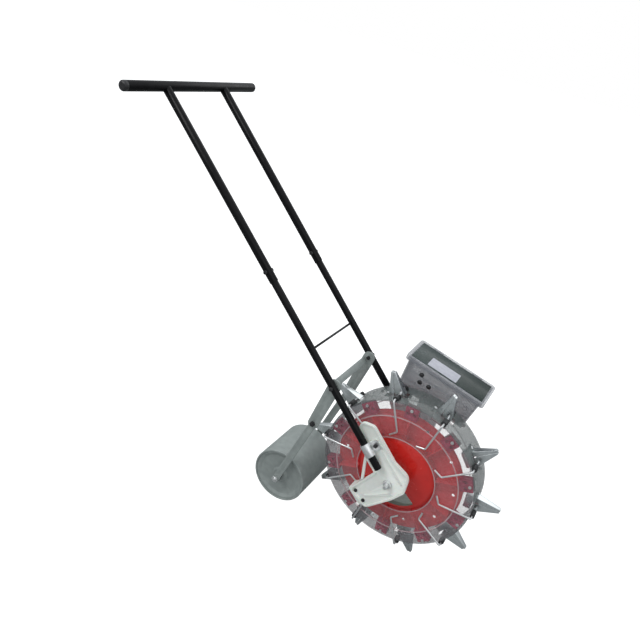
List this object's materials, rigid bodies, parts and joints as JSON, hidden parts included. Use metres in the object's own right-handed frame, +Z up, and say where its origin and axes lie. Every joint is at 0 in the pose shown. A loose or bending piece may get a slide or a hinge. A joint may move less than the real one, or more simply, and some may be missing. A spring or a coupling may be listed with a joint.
{
  "type": "push seeder",
  "caption": "Walk-behind seed drill: a clear and red duckbill seed drum on a long handle, with a seed hopper and a trailing press roller.",
  "frame": {"origin": "on the floor, under the middle of the whole machine's box", "axes": "+X is the way it travels, +Y is the hopper side, +Z is up"},
  "size_m": [1.1105, 0.505, 1.0154],
  "materials": {
    "white_plastic": "moulded, slightly glossy",
    "black_enamel": "gloss black enamel",
    "black_plastic": "moulded",
    "zinc": "zinc plated",
    "galvanised": "galvanised sheet",
    "grey_paint": "satin grey-green paint",
    "clear_plastic": "clear moulded",
    "smoke_plastic": "smoky translucent",
    "red_plastic": "gloss moulded",
    "window_plastic": "grey-green translucent",
    "dark_bolt": "blackened"
  },
  "bodies": {
    "frame": {"near_bracket": "white_plastic", "far_bracket": "white_plastic", "trip_cam": "white_plastic", "axle": "zinc", "axle_nuts": "zinc", "near_lower_tube": "black_enamel", "far_lower_tube": "black_enamel", "near_upper_tube": "black_enamel", "far_upper_tube": "black_enamel", "handlebar": "black_enamel", "bar_end_caps": "black_plastic", "tie_rod": "black_enamel", "handle_clamps": "zinc", "frame_bolts": "dark_bolt", "roller_crossbar": "grey_paint", "side_plates": "grey_paint", "hopper_body": "smoke_plastic", "seed_chute": "smoke_plastic", "hopper_stay": "grey_paint", "hinge_pin": "zinc"},
    "roller_fork": {"near_roller_arm": "grey_paint", "far_roller_arm": "grey_paint", "roller_axle": "zinc", "roller_nuts": "zinc"},
    "press_roller": {"roller_shell": "grey_paint", "roller_end_caps": "grey_paint", "roller_bushes": "black_plastic"},
    "seed_drum": {"drum_band": "clear_plastic", "hinge_blocks": "black_plastic", "near_cover": "clear_plastic", "far_cover": "clear_plastic", "seed_wheel": "red_plastic", "seed_cells": "red_plastic", "inspection_window": "window_plastic", "gate_blocks": "red_plastic", "wheel_hub": "red_plastic", "bearings": "zinc", "fixed_jaws": "galvanised", "drum_screws": "zinc"},
    "hopper_cover": {"hopper_lid": "smoke_plastic"},
    "duckbill_01": {"jaw_01": "galvanised", "lever_01": "galvanised"},
    "duckbill_02": {"jaw_02": "galvanised", "lever_02": "galvanised"},
    "duckbill_03": {"jaw_03": "galvanised", "lever_03": "galvanised"},
    "duckbill_04": {"jaw_04": "galvanised", "lever_04": "galvanised"},
    "duckbill_05": {"jaw_05": "galvanised", "lever_05": "galvanised"},
    "duckbill_06": {"jaw_06": "galvanised", "lever_06": "galvanised"},
    "duckbill_07": {"jaw_07": "galvanised", "lever_07": "galvanised"},
    "duckbill_08": {"jaw_08": "galvanised", "lever_08": "galvanised"},
    "duckbill_09": {"jaw_09": "galvanised", "lever_09": "galvanised"},
    "duckbill_10": {"jaw_10": "galvanised", "lever_10": "galvanised"}
  },
  "joints": [
    {"name": "drum_spin", "type": "hinge", "parent": "frame", "child": "seed_drum", "pos_m": [0.28989, 0, 0.26003], "axis": [0, 1, 0], "continuous": true},
    {"name": "jaw_01_open", "type": "hinge", "parent": "seed_drum", "child": "duckbill_01", "pos_m": [0.50116, 0, 0.25897], "axis": [0, 1, 0], "range_deg": [0, 14], "stiffness_Nm_per_rad": 0.8, "springref_deg": -11.46},
    {"name": "jaw_02_open", "type": "hinge", "parent": "seed_drum", "child": "duckbill_02", "pos_m": [0.46019, 0, 0.135], "axis": [0, 1, 0], "range_deg": [0, 14], "stiffness_Nm_per_rad": 0.8, "springref_deg": -11.46},
    {"name": "jaw_03_open", "type": "hinge", "parent": "seed_drum", "child": "duckbill_03", "pos_m": [0.35417, 0, 0.05878], "axis": [0, 1, 0], "range_deg": [0, 14], "stiffness_Nm_per_rad": 0.8, "springref_deg": -11.46},
    {"name": "jaw_04_open", "type": "hinge", "parent": "seed_drum", "child": "duckbill_04", "pos_m": [0.2236, 0, 0.05944], "axis": [0, 1, 0], "range_deg": [0, 14], "stiffness_Nm_per_rad": 0.8, "springref_deg": -11.46},
    {"name": "jaw_05_open", "type": "hinge", "parent": "seed_drum", "child": "duckbill_05", "pos_m": [0.11835, 0, 0.13671], "axis": [0, 1, 0], "range_deg": [0, 14], "stiffness_Nm_per_rad": 0.8, "springref_deg": -11.46},
    {"name": "jaw_06_open", "type": "hinge", "parent": "seed_drum", "child": "duckbill_06", "pos_m": [0.07863, 0, 0.26109], "axis": [0, 1, 0], "range_deg": [0, 14], "stiffness_Nm_per_rad": 0.8, "springref_deg": -11.46},
    {"name": "jaw_07_open", "type": "hinge", "parent": "seed_drum", "child": "duckbill_07", "pos_m": [0.1196, 0, 0.38507], "axis": [0, 1, 0], "range_deg": [0, 14], "stiffness_Nm_per_rad": 0.8, "springref_deg": -11.46},
    {"name": "jaw_08_open", "type": "hinge", "parent": "seed_drum", "child": "duckbill_08", "pos_m": [0.22562, 0, 0.46129], "axis": [0, 1, 0], "range_deg": [0, 14], "stiffness_Nm_per_rad": 0.8, "springref_deg": -11.46},
    {"name": "jaw_09_open", "type": "hinge", "parent": "seed_drum", "child": "duckbill_09", "pos_m": [0.35618, 0, 0.46063], "axis": [0, 1, 0], "range_deg": [0, 14], "stiffness_Nm_per_rad": 0.8, "springref_deg": -11.46},
    {"name": "jaw_10_open", "type": "hinge", "parent": "seed_drum", "child": "duckbill_10", "pos_m": [0.46143, 0, 0.38335], "axis": [0, 1, 0], "range_deg": [0, 14], "stiffness_Nm_per_rad": 0.8, "springref_deg": -11.46},
    {"name": "roller_swing", "type": "hinge", "parent": "frame", "child": "roller_fork", "pos_m": [0.05489, 0, 0.31603], "axis": [0, 1, 0], "range_deg": [0, 25]},
    {"name": "roller_spin", "type": "hinge", "parent": "roller_fork", "child": "press_roller", "pos_m": [-0.01011, 0, 0.08], "axis": [0, 1, 0], "continuous": true},
    {"name": "lid_open", "type": "hinge", "parent": "frame", "child": "hopper_cover", "pos_m": [0.30118, 0.1735, 0.49967], "axis": [-0.9866, 0, 0.1633], "range_deg": [0, 100]}
  ]
}
